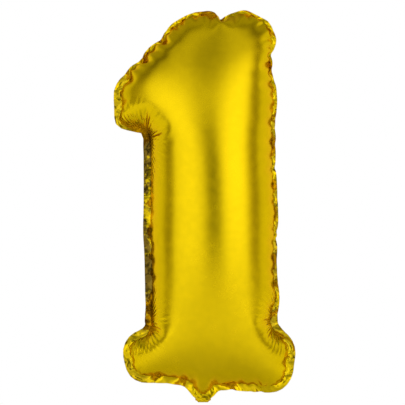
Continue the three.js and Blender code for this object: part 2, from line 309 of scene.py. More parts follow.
class Film:
    """Both films as one mesh: the front's points first, sealed edge and all, and then the back's own points."""

    air_every = 3  # steps from one reckoning of the air's push to the next
    passes = 2  # how often the edges are brought back to length in a step
    haste = 1.3  # how far past the mean of its edges' wishes a point goes
    least_area = 0.5  # smallest area that the air counts for a point, as a share of the mean

    def __init__(self, cut: np.ndarray, faces: np.ndarray, pillow: np.ndarray) -> None:
        """Joins the two films along their sealed edge.

        Args:
            cut: Flat places (n, 2) of one film's points.
            faces: Its triangles (m, 3).
            pillow: Which triangles are inside the seam (m,).
        """
        self.cut, self.faces, self.pillow = cut, faces, pillow
        self.count = len(cut)
        in_pillow = np.zeros(self.count, bool)
        in_pillow[faces[pillow]] = True
        self.edge = np.zeros(self.count, bool)
        self.edge[faces[~pillow]] = True
        self.seam = in_pillow & self.edge
        own = np.flatnonzero(in_pillow & ~self.edge)
        self.own = own
        self.back = np.arange(self.count)
        self.back[own] = self.count + np.arange(len(own))
        self.total = self.count + len(own)
        rest = np.vstack([cut, cut[own]])
        self.back_faces = self.back[faces[pillow]][:, ::-1]
        self.skin = np.vstack([faces[pillow], self.back_faces])
        self.edges, _ = unique_edges(np.vstack([faces, self.back_faces]))
        self.lengths = np.linalg.norm(rest[self.edges[:, 0]] - rest[self.edges[:, 1]], axis=1)
        on_edge = np.append(self.edge, np.zeros(len(own), bool))
        self.edge_link = on_edge[self.edges].all(1)
        self.degree = np.bincount(self.edges.ravel(), minlength=self.total)
        parts = (faces[pillow], self.back_faces, faces[~pillow])
        self.hinges = np.vstack([self._hinges(part) for part in parts])
        self.spans = np.linalg.norm(rest[self.hinges[:, 0]] - rest[self.hinges[:, 1]], axis=1)
        corner = rest[self.skin]
        one, two = corner[:, 1] - corner[:, 0], corner[:, 2] - corner[:, 0]
        area = np.abs(cross_2d(one, two))
        self.area = np.bincount(self.skin.T.ravel(), np.tile(area, 3), self.total)
        self.area = np.maximum(self.area, self.least_area * self.area[self.area > 0].mean())
        self.place = np.zeros((3, self.total))
        self.speed = np.zeros((3, self.total))

    def _hinges(self, faces: np.ndarray) -> np.ndarray:
        """The two points across each shared edge of some triangles, which come closer as the film folds.

        Args:
            faces: The triangles (n, 3).

        Returns:
            Vertex pairs (m, 2).
        """
        pairs = np.sort(sides(faces), axis=1)
        across = np.concatenate([faces[:, 2], faces[:, 0], faces[:, 1]])
        key = pairs[:, 0] * self.total + pairs[:, 1]
        order = np.argsort(key, kind="stable")
        twin = np.flatnonzero(np.diff(key[order]) == 0)
        return np.stack([across[order][twin], across[order][twin + 1]], 1)

    def lay_flat(self, puff: float) -> None:
        """Lays both films flat on each other, parted a little inside the seam.

        Args:
            puff: Distance of each film from the seam's plane, in mm.
        """
        rest = np.vstack([self.cut, self.cut[self.own]])
        self.place[0], self.place[2] = rest[:, 0], rest[:, 1]
        self.place[1, self.own] = -puff
        self.place[1, self.count :] = puff

    def refine(self) -> "Film":
        """Halves every edge, so that four triangles take the place of each one.

        Returns:
            The finer film, in the same place and at rest.
        """
        edges, own_edges = unique_edges(self.faces)
        n = self.count
        a, b, c = self.faces.T
        ab, bc, ca = (own_edges + n).T
        quarters = ((a, ab, ca), (b, bc, ab), (c, ca, bc), (ab, bc, ca))
        faces = np.vstack([np.stack(quarter, 1) for quarter in quarters])
        cut = np.vstack([self.cut, self.cut[edges].mean(1)])
        finer = Film(cut, faces, np.tile(self.pillow, 4))
        front, back = self.place[:, :n], self.place[:, self.back]
        front = np.hstack([front, front[:, edges].mean(2)])
        back = np.hstack([back, back[:, edges].mean(2)])
        finer.place = np.hstack([front, back[:, finer.own]])
        finer.speed = np.zeros_like(finer.place)
        return finer

    def _pull(self, place: np.ndarray, pairs: np.ndarray, share: np.ndarray) -> np.ndarray:
        """Sum over the pairs of the step that each asks of its two points, which is towards each other.

        Args:
            place: Where the points are (3, n).
            pairs: Vertex pairs (m, 2).
            share: How much of the way between them each of the two should go (m,).

        Returns:
            The steps (3, n).
        """
        gap = (place[:, pairs[:, 0]] - place[:, pairs[:, 1]]) * share
        one, two = pairs.T
        return np.stack([np.bincount(two, g, self.total) - np.bincount(one, g, self.total) for g in gap])

    def _length(self, place: np.ndarray, pairs: np.ndarray) -> np.ndarray:
        """Distance between the two points of each pair."""
        gap = place[:, pairs[:, 0]] - place[:, pairs[:, 1]]
        return np.sqrt(np.einsum("ij,ij->j", gap, gap))

    def _outward(self, place: np.ndarray) -> np.ndarray:
        """The area vector of the skin round each point, over the point's flat area.

        Args:
            place: Where the points are (3, n).

        Returns:
            The vectors (3, n), outwards.
        """
        a, b, c = (place[:, self.skin[:, k]] for k in range(3))
        normal = np.cross(b - a, c - a, axis=0)
        ring = self.skin.T.ravel()
        return np.stack([np.bincount(ring, np.tile(n, 3), self.total) for n in normal]) / self.area

    def inflate(self, spell: Spell, held: np.ndarray) -> None:
        """Blows the film up: each step it moves on, the air pushes it out, and its edges pull it back to length.

        An edge that is too long is brought back in full, and one that is too short by the spell's stiffness,
        because a thin film would rather wrinkle than be pressed together.

        Args:
            spell: How long and how hard.
            held: Points that stay in the seam's plane.
        """
        place = self.place
        before = place - self.speed
        give = np.where(self.edge_link, spell.stiff_edge, spell.stiff)
        rate = self.haste / self.degree
        fold_rate = spell.bend / np.maximum(np.bincount(self.hinges.ravel(), minlength=self.total), 1)
        flat = np.flatnonzero(self.edge) if spell.flat else held
        for step in range(spell.steps):
            if step % self.air_every == 0:
                air = self._outward(place) * spell.push
            moved = (place - before) * spell.keep
            before = place
            place = place + moved + air
            for _ in range(self.passes):
                length = self._length(place, self.edges)
                over = (length - self.lengths) / np.maximum(length, TINY) * 0.5
                over *= np.where(over < 0, give, 1.0)
                place = place + self._pull(place, self.edges, over) * rate
            span = self._length(place, self.hinges)
            short = np.minimum(span - self.spans, 0) / np.maximum(span, TINY) * 0.5
            place = place + self._pull(place, self.hinges, short) * fold_rate
            place[1, flat] = 0
        self.place, self.speed = place, place - before


def triangulate(sheet: CutSheet, step: float) -> Film:
    """Fills the cut sheet with even triangles that meet along its seam.

    Rows of points fill the inside of the seam: a step apart, each row shifted by half a step, and the rows as far
    apart as an even triangle is high.

    Args:
        sheet: The flat cut.
        step: Length of a triangle's side, in mm.

    Returns:
        The film.
    """
    along, clear = 0.8 * step, 0.62 * step  # spacing along the outlines, and the space left inside the seam
    seam, rim = sheet.seam(along), sheet.outline(sheet.flange, along)
    low, high = seam.min(0), seam.max(0)
    rows = np.arange(low[1], high[1], step * math.sqrt(0.75))
    x, z = np.meshgrid(np.arange(low[0], high[0], step), rows)
    x = x + (np.arange(len(rows)) % 2)[:, None] * step / 2
    grid = np.stack([x.ravel(), z.ravel()], 1)
    grid = grid[inside(seam, grid)]
    grid = grid[nearest(seam, grid)[0] > clear]
    points = np.vstack([seam, rim, grid])
    n, m = len(seam), len(rim)
    ring = [(i, (i + 1) % n) for i in range(n)] + [(n + i, n + (i + 1) % m) for i in range(m)]
    found = delaunay_2d_cdt([Vector(p) for p in points.tolist()], ring, [], 1, 1e-6)
    cut, faces = np.array([v[:] for v in found[0]]), np.array(found[2])
    faces = faces[inside(rim, cut[faces].mean(1))]
    one, two = cut[faces[:, 1]] - cut[faces[:, 0]], cut[faces[:, 2]] - cut[faces[:, 0]]
    turned = cross_2d(one, two) < 0
    faces[turned] = faces[turned][:, ::-1]
    used, faces = np.unique(faces, return_inverse=True)
    cut, faces = cut[used], faces.reshape(-1, 3)
    return Film(cut, faces, inside(seam, cut[faces].mean(1)))


class Slot(Enum):
    """The record's material slots."""

    SATIN = "satin_gold_film"
    MIRROR = "mirror_gold_film"
    FUSED = "fused_film"
    CLEAR = "clear_film"


@dataclass
class Skin:
    """One film's outer surface."""

    points: np.ndarray  # (n, 3), in metres
    faces: np.ndarray  # (m, 3)
    cut: np.ndarray  # (n, 2), places on the flat sheet, in mm
    gap: np.ndarray  # (n,), distance outwards from the seam, in mm

    def gloss(self) -> np.ndarray:
        """How mirror-like the sealed edge is at each point, from 0 to 1; its square also sets how deep the painted
        dark reflections in the edge's colour are.

        It stays satin round the top, where the seal was pressed evenly, and is crinkled and bright round the
        flag's end, down the stem and round the foot. It is strongest down the stem's left side.

        Returns:
            The values (n,).
        """
        x, z = self.cut.T  # mm, as all the places below
        below_flag = ramp(z, 275, 260)
        flag_end = ramp(x, -91, -97)
        under_foot = ramp(np.abs(x), 70, 58) * ramp(z, 8, 0)
        left_side = np.clip(-x / 60, 0.4, 1)
        stem = ramp(z, 45, 55) * ramp(z, 246, 238) * left_side
        return np.maximum(below_flag, flag_end) * (1 - 0.4 * under_foot) * (0.58 + 0.42 * stem)

    def normals(self) -> np.ndarray:
        """The normal at each point: the sum of the area vectors of its triangles, brought to length one.

        Returns:
            The normals (n, 3).
        """
        least = 1e-12  # square metres
        corner = self.points[self.faces]
        normal = np.cross(corner[:, 1] - corner[:, 0], corner[:, 2] - corner[:, 0])
        ring = self.faces.T.ravel()
        total = np.stack([np.bincount(ring, np.tile(n, 3), len(self.points)) for n in normal.T], 1)
        return total / np.maximum(np.linalg.norm(total, axis=1), least)[:, None]

    def soften(self, share: np.ndarray, passes: int) -> None:
        """Draws each point towards the middle of its neighbours.

        Args:
            share: How far each point goes, from 0 to 1.
            passes: How many times.
        """
        edges, _ = unique_edges(self.faces)
        count = len(self.points)
        both = np.vstack([edges, edges[:, ::-1]])
        degree = np.maximum(np.bincount(both[:, 0], minlength=count), 1)
        for _ in range(passes):
            near = self.points[both[:, 1]]
            middle = np.stack([np.bincount(both[:, 0], n, count) for n in near.T], 1)
            middle /= degree[:, None]
            self.points = self.points + (middle - self.points) * share[:, None]

    def shell(self, thickness: float) -> "Skin":
        """The closed shell between this surface and the same surface moved inwards.

        The inner surface is the outer one less its normals times the thickness, turned inside out, and a wall of
        two triangles stands on each open edge.

        Args:
            thickness: Film thickness, in metres.

        Returns:
            The shell.
        """
        n = len(self.points)
        inner = self.points - self.normals() * thickness
        ways = sides(self.faces)
        key, back = ways[:, 0] * n + ways[:, 1], ways[:, 1] * n + ways[:, 0]
        a, b = ways[~np.isin(key, back)].T
        wall = np.vstack([np.stack([b, a, a + n], 1), np.stack([b, a + n, b + n], 1)])
        return Skin(
            np.vstack([self.points, inner]),
            np.vstack([self.faces, self.faces[:, ::-1] + n, wall]),
            np.tile(self.cut, (2, 1)),
            np.tile(self.gap, 2),
        )

    def only(self, keep: np.ndarray) -> "Skin":
        """The part of the surface with some of its triangles.

        Args:
            keep: Which triangles (m,).

        Returns:
            The part, with only the points that it needs.
        """
        used, faces = np.unique(self.faces[keep], return_inverse=True)
        return Skin(self.points[used], faces.reshape(-1, 3), self.cut[used], self.gap[used])

    def flipped(self) -> "Skin":
        """The same surface seen from the other side."""
        return Skin(self.points, self.faces[:, ::-1], self.cut, self.gap)

    def _mark(self, mesh: bpy.types.Mesh, name: str, values: np.ndarray) -> None:
        """Writes one value for each point into a mesh, under a name that the materials read."""
        mark = mesh.attributes.new(name, "FLOAT", "POINT")
        mark.data.foreach_set("value", values.astype(np.float32))

    def piece(self, name: str, body: str | None, nodes: tuple[str, ...], slot: Slot) -> bpy.types.Object:
        """Puts the surface into the scene as a named piece.

        Args:
            name: The piece's name.
            body: The body it rides on, or None if it bends across the fold.
            nodes: The solids it stands for.
            slot: The record's material slot.

        Returns:
            The object.
        """
        mesh = bpy.data.meshes.new(name)
        mesh.from_pydata(self.points.tolist(), [], self.faces.tolist())
        corners = np.empty(len(mesh.loops), np.int32)
        mesh.loops.foreach_get("vertex_index", corners)
        flat = mesh.uv_layers.new(name="flat_cut")
        flat.uv.foreach_set("vector", (self.cut[corners] * MM).ravel().astype(np.float32))
        self._mark(mesh, "seam_gap", self.gap * MM)
        # edge_gloss also sets how deep the painted dark reflections along the sealed edge are
        self._mark(mesh, "edge_gloss", self.gloss())
        mesh.shade_smooth()
        mesh.set_sharp_from_angle(angle=SHARP)
        piece = bpy.data.objects.new(name, mesh)
        bpy.context.scene.collection.objects.link(piece)
        if body:
            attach(piece, body)
        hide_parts(*nodes)
        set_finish(piece, slot.value)
        log.info("%s: %d triangles", name, len(self.faces))
        return piece


@dataclass
class Balloon:
    """The inflated body: front film, back film and the band where they are fused."""

    sheet: CutSheet = field(default_factory=CutSheet)
    coarse: float = 8.0  # triangle side that the films start with, in mm
    film: float = 0.1 * MM
    fused: float = 0.1 * MM  # thickness of the fused layer
    valve: float = 0.45 * MM  # further distance at the neck, where the valve lies between the films
    valve_side: tuple[float, float] = (8.5, 6.0)  # where that starts beside the neck, and where it is whole, in mm
    valve_top: float = -10.0  # the highest that it goes on the cut sheet, in mm
    wave: float = 27.0  # wanted length from one scallop to the next, in mm
    wave_height: float = 3.0  # how much higher the starting wave is at the cut edge than at the seam, in mm
    wave_seam: float = 0.4  # its height at the seam, as a share of that
    neck_x: float = -8.0  # middle of the neck on the cut sheet, in mm
    neck_end: float = -12.0  # height of its cut edge once inflated, in mm
    neck_half: float = 9.0
    neck_top: float = -20.0  # the sealed edge's points below this are the neck's, on the cut sheet
    drawn: float = 30.0  # height over which the neck is moved to meet the tail, in mm
    deep: tuple[float, float] = (10.0, 35.0)  # from where to where inside the seam the film is smoothed, in mm
    smoothing: float = 0.5  # how far each pass smooths the film there
    smooth_passes: int = 12
    rise: Spell = Spell(500, 0.0032, 0.98, flat=True)  # the coarse film rises
    fill: Spell = Spell(200, 0.0008, 0.98, flat=True)  # the finer film fills out
    gather: Spell = Spell(60, 0.0008, 0.8, 0.5, 0.8, 0.5)  # the waved edge gathers
    crease: Spell = Spell(300, 0.0002, 0.8, 0.7, 0.9, 0.5)  # the finest film creases

    def __post_init__(self) -> None:
        """Finds where the cut sheet's zero lies in the frame from the valve, which ends at the neck's cut edge."""
        low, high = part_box("valve_front_film")
        self.shift = np.array([(low.x + high.x) / 2 - self.neck_x * MM, 0, low.z - self.neck_end * MM])

    def blow_up(self) -> None:
        """Cuts the sheet, seals it and inflates it, from coarse triangles to fine ones."""
        film = triangulate(self.sheet, self.coarse)
        film.lay_flat(0.2 * self.coarse)
        seam = self.sheet.seam(1.0)
        nobody = np.zeros(0, int)
        film.inflate(self.rise, nobody)
        film = film.refine()
        film.inflate(self.fill, nobody)
        self._ruffle(film, seam)
        film.inflate(self.gather, self._neck(film))
        film = film.refine()
        film.inflate(self.crease, self._neck(film))
        self._reach_tail(film)
        self.gap = nearest(seam, film.cut)[0]
        self.gap[inside(seam, film.cut) & ~film.seam] *= -1
        self.gap[film.seam] = 0
        self.blown = film
        log.info("inflated %d points", film.total)

    def _ruffle(self, film: Film, seam: np.ndarray) -> None:
        """Starts the scallops: a sine wave out of the plane round the sealed edge, higher towards its cut edge.

        Two slower sines shift the wave's phase, so that no two scallops are quite as long.

        Args:
            film: The film.
            seam: Points (n, 2) along the seam, 1 mm apart.
        """
        gap, turn = nearest(seam, film.cut[film.edge])
        waves = round(len(seam) / self.wave)
        height = (self.wave_seam + gap / self.sheet.flange) * self.wave_height
        uneven = 0.5 * np.sin(math.tau * 5 * turn + 1.0) + 0.3 * np.sin(math.tau * 11 * turn)
        film.place[1, : film.count][film.edge] += height * np.sin(math.tau * (turn * waves + uneven))

    def _reach_tail(self, film: Film) -> None:
        """Moves the neck up or down, so that it ends where the tail starts.

        The move is whole at the neck's cut edge. It falls with the square of the height above that, and fades
        out to each side of the neck.

        Args:
            film: The film.
        """
        core, whole, none = 6, 12, 32  # mm to the side of the neck's middle
        x, z = film.place[0], film.place[2]
        side = np.abs(x - self.neck_x)
        low = z[side < core].min()
        share = ramp(z, low + self.drawn, low) ** 2 * ramp(side, none, whole)
        film.place[2] += (self.neck_end - low) * share
        log.info("neck moved by %.2f mm", self.neck_end - low)

    def _neck(self, film: Film) -> np.ndarray:
        """The sealed edge's points at the neck, which stay flat because the tail holds them."""
        x, z = film.cut.T
        return np.flatnonzero(film.edge & (np.abs(x - self.neck_x) < self.neck_half) & (z < self.neck_top))

    def skin(self, face: Face) -> Skin:
        """One film's outer surface.

        Inside the seam it is where the air pushed it, smoothed where it is far from the seam. Along the sealed
        edge it lies half the fused layer and a film's thickness away from the middle, and further at the neck.

        Args:
            face: Which film.

        Returns:
            The surface.
        """
        film = self.blown
        if face is Face.FRONT:
            number, faces = np.arange(film.count), film.faces
        else:
            number, faces = film.back, film.faces[:, ::-1]
        points = film.place[:, number].T * MM + self.shift
        whole = Skin(points, faces, film.cut, self.gap)
        edge = Skin(points, faces[~film.pillow], film.cut, self.gap)
        x, z = film.cut.T
        neck = ramp(np.abs(x - self.neck_x), *self.valve_side) * (z < self.valve_top)
        lift = edge.normals() * (self.fused / 2 + self.film + self.valve * neck)[:, None]
        whole.points = points + np.where(film.edge[:, None], lift, 0)
        whole.soften(self.smoothing * ramp(-self.gap, *self.deep), self.smooth_passes)
        return whole

    def build(self) -> dict[str, bpy.types.Object]:
        """Makes the body's three pieces.

        Returns:
            The pieces by name.
        """
        front = self.skin(Face.FRONT).shell(self.film)
        back = self.skin(Face.BACK).shell(self.film)
        parts = {
            "front_film": (front, "front_panel", Slot.SATIN),
            "back_film": (back, "back_panel", Slot.MIRROR),
            "seal_band": (self.band(), "perimeter_seal", Slot.FUSED),
        }
        return {name: skin.piece(name, "envelope", (node,), slot) for name, (skin, node, slot) in parts.items()}

    def band(self) -> Skin:
        """The fused layer between the films: a slab over the sealed edge that shows only at the cut.

        Its outer points stand a little way out of the films' cut edge, along the surface and away from the seam.

        Returns:
            The closed slab.
        """
        stand_out = 0.12 * MM
        at_cut = 0.2  # mm
        film = self.blown
        whole = Skin(film.place[:, : film.count].T * MM + self.shift, film.faces, film.cut, self.gap)
        band = whole.only(~film.pillow)
        rim = self.sheet.outline(self.sheet.flange, 1.0)
        outer = (nearest(rim, band.cut)[0] < at_cut)[:, None]
        normal = band.normals()
        seam = self.sheet.seam(1.0)
        turn = nearest(seam, band.cut)[1]
        foot = seam[np.floor(turn * len(seam)).astype(int) % len(seam)]
        away = band.cut - foot
        away /= np.maximum(np.linalg.norm(away, axis=1), TINY)[:, None]
        out = np.stack([away[:, 0], np.zeros(len(away)), away[:, 1]], 1)
        out -= normal * (out * normal).sum(1)[:, None]
        band.points = band.points + normal * self.fused / 2 + outer * out * stand_out
        return band.shell(self.fused)


@dataclass
class Tail:
    """The filling tail below the neck: two narrow films sealed along their sides and folded up behind."""

    width: float = 15 * MM
    length: float = 24 * MM
    fold: float = math.radians(98)  # how far it turns
    bend: float = 1.1 * MM  # radius of the fold
    tuck: float = 2.0 * MM  # how far it reaches up between the body's films
    puff: float = 0.5 * MM  # how far its films part in the middle
    side_seal: float = 3 * MM
    mouth: float = 0.38 * MM  # further distance of its films from the middle where they hold the valve
    mouth_end: float = 4 * MM  # where that ends
    film: float = 0.1 * MM
    corner: float = 3 * MM
    waist: float = 0.62  # share of its width at the fold, where it is gathered
    gather: tuple[float, float] = (1 * MM, 10 * MM)  # from where to where it widens again
    sealed: float = 5.0  # mm, what its points give as their distance from the seam
    margin: float = 0.3 * MM  # how far past the arc it bends, on each side

    def __post_init__(self) -> None:
        """Takes the fold's axis from the frame's one joint."""
        self.axis = np.array(frame["joints"][0]["pos_m"])

    def path(self, s: np.ndarray) -> tuple[np.ndarray, np.ndarray]:
        """The middle line of the tail and its normal, seen from the side.

        It goes straight down, turns on an arc through the fold's angle, and goes straight on.

        Args:
            s: Distances along it, in metres, from where the arc starts.

        Returns:
            Places (n, 2) as y and z, and normals (n, 2) towards the front film's side.
        """
        arc = self.bend * self.fold
        turn = np.clip(s, 0, arc) / self.bend
        before, after = np.minimum(s, 0), np.maximum(s - arc, 0)
        y = self.bend * (1 - np.cos(turn)) + after * math.sin(self.fold)
        z = -before - self.bend * np.sin(turn) - after * math.cos(self.fold)
        top = self.axis[2] + self.bend * math.tan(self.fold / 2)
        place = np.stack([self.axis[1] + y, top + z], 1)
        return place, np.stack([-np.cos(turn), -np.sin(turn)], 1)

    def ribbon(self, across: tuple[float, float], lift: float, puff: float = 0.0, lines: int = 24) -> Skin:
        """A strip along the tail's path.

        A point is the path's place at its distance along, plus the path's normal times the strip's lift, plus the
        same normal times a puff that falls to nothing at the side seals and at both ends. The end's corners are
        rounded by drawing the outer lines back by a quarter circle.

        Args:
            across: Where the strip starts and ends across the tail, in metres from its middle.
            lift: Distance from the path towards the front film's side, in metres.
            puff: Further distance in the middle, in metres.
            lines: Points across.

        Returns:
            The strip's surface, seen from the front film's side.
        """
        rows = 90
        closed, blunt = 0.2, 0.7  # share of the length before the puff starts, and how bluntly it starts and ends
        flare = 1.5  # how slowly the gathered width opens at first
        t = np.linspace(*across, lines)
        half = self.width / 2
        over = np.clip(np.abs(t) - (half - self.corner), 0, self.corner)
        end = self.length - self.tuck - (self.corner - np.sqrt(self.corner**2 - over**2))
        share = np.linspace(0, 1, rows)[:, None]
        s = -self.tuck + share * (end + self.tuck)
        place, normal = self.path(s.ravel())
        bulge = np.clip(1 - (np.abs(t) / (half - self.side_seal)) ** 2, 0, 1) ** 0.5
        open_part = np.clip(np.sin(math.pi * ramp(share, closed, 1.0)), 0, 1) ** blunt
        mouth = self.mouth * np.sign(lift) * np.clip(1 - s / self.mouth_end, 0, 1)
        out = (lift + puff * bulge * open_part + mouth * (np.abs(lift) > self.film)).ravel()
        yz = place + normal * out[:, None]
        gather = self.waist + (1 - self.waist) * ramp(s, *self.gather) ** flare
        x = (self.axis[0] + t * gather).ravel()
        points = np.stack([x, yz[:, 0], yz[:, 1]], 1)
        row, line = np.meshgrid(np.arange(rows - 1), np.arange(lines - 1), indexing="ij")
        a = (row * lines + line).ravel()
        halves = ((a, a + lines, a + 1), (a + 1, a + lines, a + lines + 1))
        faces = np.vstack([np.stack(half, 1) for half in halves])
        cut = np.stack([x, -s.ravel()], 1) / MM
        return Skin(points, faces, cut, np.full(len(points), self.sealed))

    def build(self) -> dict[str, bpy.types.Object]:
        """Makes the tail's four pieces, each of which bends across the fold.

        Returns:
            The pieces by name.
        """
        half = self.width / 2
        inner = half - self.side_seal
        gap = self.film / 2
        lift = gap + self.film
        front = self.ribbon((-half, half), lift, self.puff).shell(self.film)
        back = self.ribbon((-half, half), -lift, -self.puff).flipped().shell(self.film)
        left = self.ribbon((-half, -inner), gap, lines=6).shell(2 * gap)
        right = self.ribbon((inner, half), gap, lines=6).shell(2 * gap)
        parts = {
            "tail_front": (front, "tail_front_film", Slot.SATIN),
            "tail_back": (back, "tail_back_film", Slot.MIRROR),
            "tail_seal_left_band": (left, "tail_seal_left", Slot.FUSED),
            "tail_seal_right_band": (right, "tail_seal_right", Slot.FUSED),
        }
        made = {name: skin.piece(name, None, (node,), slot) for name, (skin, node, slot) in parts.items()}
        for piece in made.values():
            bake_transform(piece)
        return made


Socket = bpy.types.NodeSocket
Groups = dict[str, bpy.types.NodeTree]


class Nodes:
    """Adds and joins shader nodes in a tree."""

    def __init__(self, tree: bpy.types.NodeTree) -> None:
        """Starts with an empty tree."""
        self.tree = tree
        tree.nodes.clear()

    def add(self, kind: str, inputs: dict[str | int, object] | None = None, **settings: object) -> bpy.types.Node:
        """Adds a node.

        Args:
            kind: The node's type, without its ShaderNode.
            inputs: A value or a socket for each input, by its name or number.
            settings: The node's own settings.

        Returns:
            The node.
        """
        node = self.tree.nodes.new("ShaderNode" + kind)
        for name, value in settings.items():
            setattr(node, name, value)
        for name, value in (inputs or {}).items():
            if isinstance(value, Socket):
                self.tree.links.new(value, node.inputs[name])
            else:
                node.inputs[name].default_value = value
        return node

    def math(self, operation: str, *values: Socket | float, clamp: bool = False) -> Socket:
        """The result of one sum on two or three values or sockets."""
        return self.add("Math", dict(enumerate(values)), operation=operation, use_clamp=clamp).outputs[0]

    def spread(self, value: Socket, low: float, high: float, to_low: float, to_high: float) -> Socket:
        """Carries a value smoothly from one range to another.

        Args:
            value: The value.
            low: Where its own range starts.
            high: Where that ends.
            to_low: What it becomes at the start and before.
            to_high: What it becomes at the end and after.

        Returns:
            The new value.
        """
        values = {"Value": value, 1: low, 2: high, 3: to_low, 4: to_high}
        return self.add("MapRange", values, interpolation_type="SMOOTHSTEP").outputs[0]

    def blend(self, share: Socket, one: float, other: float) -> Socket:
        """A number between two others, by a share from 0 to 1."""
        return self.add("Mix", {0: share, 2: one, 3: other}, data_type="FLOAT").outputs[0]

    def blend_color(self, share: Socket, one: object, other: object) -> Socket:
        """A colour between two others, by a share from 0 to 1."""
        return self.add("Mix", {0: share, 6: one, 7: other}, data_type="RGBA").outputs[2]

    def effect(self, group: bpy.types.NodeTree, **inputs: object) -> Socket:
        """The first output of a shared effect, placed with its own values or sockets."""
        return self.add("Group", inputs, node_tree=group).outputs[0]

    def surface(self, inputs: dict[str, object]) -> None:
        """Ends a material's tree with a Principled shader that has these inputs."""
        shader = self.add("BsdfPrincipled", inputs)
        self.add("OutputMaterial", {"Surface": shader.outputs[0]})


def new_material(name: str) -> tuple[bpy.types.Material, Nodes]:
    """Starts a material.

    Args:
        name: Its name.

    Returns:
        The material and its empty tree's nodes.
    """
    material = bpy.data.materials.new(name)
    material.use_nodes = True
    return material, Nodes(material.node_tree)


def new_group(
    name: str, inputs: dict[str, tuple[str, object]], output: str
) -> tuple[Nodes, dict[str, Socket], bpy.types.Node]:
    """Starts a shader node group that puts out one number.

    Args:
        name: Its name.
        inputs: For each input, its socket type and its usual value.
        output: The output's name.

    Returns:
        The tree's nodes, the sockets of its inputs by name, and its output node.
    """
    tree = bpy.data.node_groups.new(name, "ShaderNodeTree")
    for label, (kind, usual) in inputs.items():
        socket = tree.interface.new_socket(label, in_out="INPUT", socket_type="NodeSocket" + kind)
        if usual is not None:
            socket.default_value = usual
    tree.interface.new_socket(output, in_out="OUTPUT", socket_type="NodeSocketFloat")
    nodes = Nodes(tree)
    start, end = tree.nodes.new("NodeGroupInput"), tree.nodes.new("NodeGroupOutput")
    return nodes, {s.name: s for s in start.outputs if s.name}, end


def crinkle_group() -> bpy.types.NodeTree:
    """Crumpled film: facets of two sizes that meet in soft creases, as a height from 0 upwards.

    Returns:
        The group.
    """
    nodes, given, end = new_group(
        "crinkle",
        {"Place": ("Vector", None), "Facets": ("Float", 200.0), "Fine": ("Float", 0.35)},
        "Height",
    )
    drift = nodes.add("TexNoise", {"Vector": given["Place"], "Scale": 60.0, "Detail": 1.0})
    moved = nodes.add("VectorMath", {0: drift.outputs["Color"], "Scale": 0.006}, operation="SCALE")
    place = nodes.add("VectorMath", {0: given["Place"], 1: moved.outputs[0]})
    big = nodes.add("TexVoronoi", {"Vector": place.outputs[0], "Scale": given["Facets"]}, feature="F1")
    more = nodes.math("MULTIPLY", given["Facets"], 2.6)
    small = nodes.add("TexVoronoi", {"Vector": place.outputs[0], "Scale": more}, feature="F1")
    part = nodes.math("MULTIPLY", small.outputs["Distance"], given["Fine"])
    both = nodes.math("ADD", big.outputs["Distance"], part)
    nodes.tree.links.new(both, end.inputs["Height"])
    return nodes.tree


def mottle_group() -> bpy.types.NodeTree:
    """Slow clouds with finer ones over them, as a value round a half.

    Returns:
        The group.
    """
    inputs = {"Place": ("Vector", None), "Scale": ("Float", 12.0)}
    nodes, given, end = new_group("mottle", inputs, "Value")
    slow = nodes.add("TexNoise", {"Vector": given["Place"], "Scale": given["Scale"], "Detail": 3.0})
    finer = nodes.math("MULTIPLY", given["Scale"], 9.0)
    fine = nodes.add("TexNoise", {"Vector": given["Place"], "Scale": finer, "Detail": 2.0})
    part = nodes.math("MULTIPLY", fine.outputs["Fac"], 0.35)
    both = nodes.math("MULTIPLY_ADD", slow.outputs["Fac"], 0.65, part)
    nodes.tree.links.new(both, end.inputs["Value"])
    return nodes.tree


def fan_group() -> bpy.types.NodeTree:
    """Fine creases that spread like a fan from a corner of the cut, as a height from -1 to 1.

    The height is the sine of the angle round the corner times the number of creases, wandering a little. It rises
    past the corner's own clear space and fades out within its reach.

    Returns:
        The group.
    """
    nodes, given, end = new_group(
        "fan",
        {
            "Place": ("Vector", None),
            "Corner": ("Vector", (0.0, 0.0, 0.0)),
            "Creases": ("Float", 40.0),
            "Reach": ("Float", 0.03),
        },
        "Height",
    )
    away = nodes.add("VectorMath", {0: given["Place"], 1: given["Corner"]}, operation="SUBTRACT")
    split = nodes.add("SeparateXYZ", {0: away.outputs[0]})
    angle = nodes.math("ARCTAN2", split.outputs[1], split.outputs[0])
    far = nodes.add("VectorMath", {0: away.outputs[0]}, operation="LENGTH").outputs["Value"]
    drift = nodes.add("TexNoise", {"Vector": given["Place"], "Scale": 90.0, "Detail": 1.0})
    wander = nodes.math("MULTIPLY", drift.outputs["Fac"], 3.0)
    ripple = nodes.math("MULTIPLY_ADD", angle, given["Creases"], wander)
    wave = nodes.math("SINE", ripple)
    share = nodes.math("DIVIDE", far, given["Reach"])
    fade = nodes.spread(share, 0.4, 1.0, 1.0, 0.0)
    start = nodes.spread(share, 0.18, 0.3, 0.0, 1.0)
    uneven = nodes.add("TexNoise", {"Vector": given["Place"], "Scale": 160.0, "Detail": 0.0})
    depth = nodes.spread(uneven.outputs["Fac"], 0.35, 0.65, 0.25, 1.0)
    height = wave
    for part in (fade, start, depth):
        height = nodes.math("MULTIPLY", height, part)
    nodes.tree.links.new(height, end.inputs["Height"])
    return nodes.tree


class Fan(NamedTuple):
    """Creases that fan out from a point just outside one of the cut sheet's inner corners."""

    x: float  # mm on the cut sheet
    z: float
    reach: float  # metres
    creases: float = 48.0  # in a full turn


FANS = (Fan(-96, 234, 0.058), Fan(-89, 57, 0.053), Fan(92, 61, 0.054))


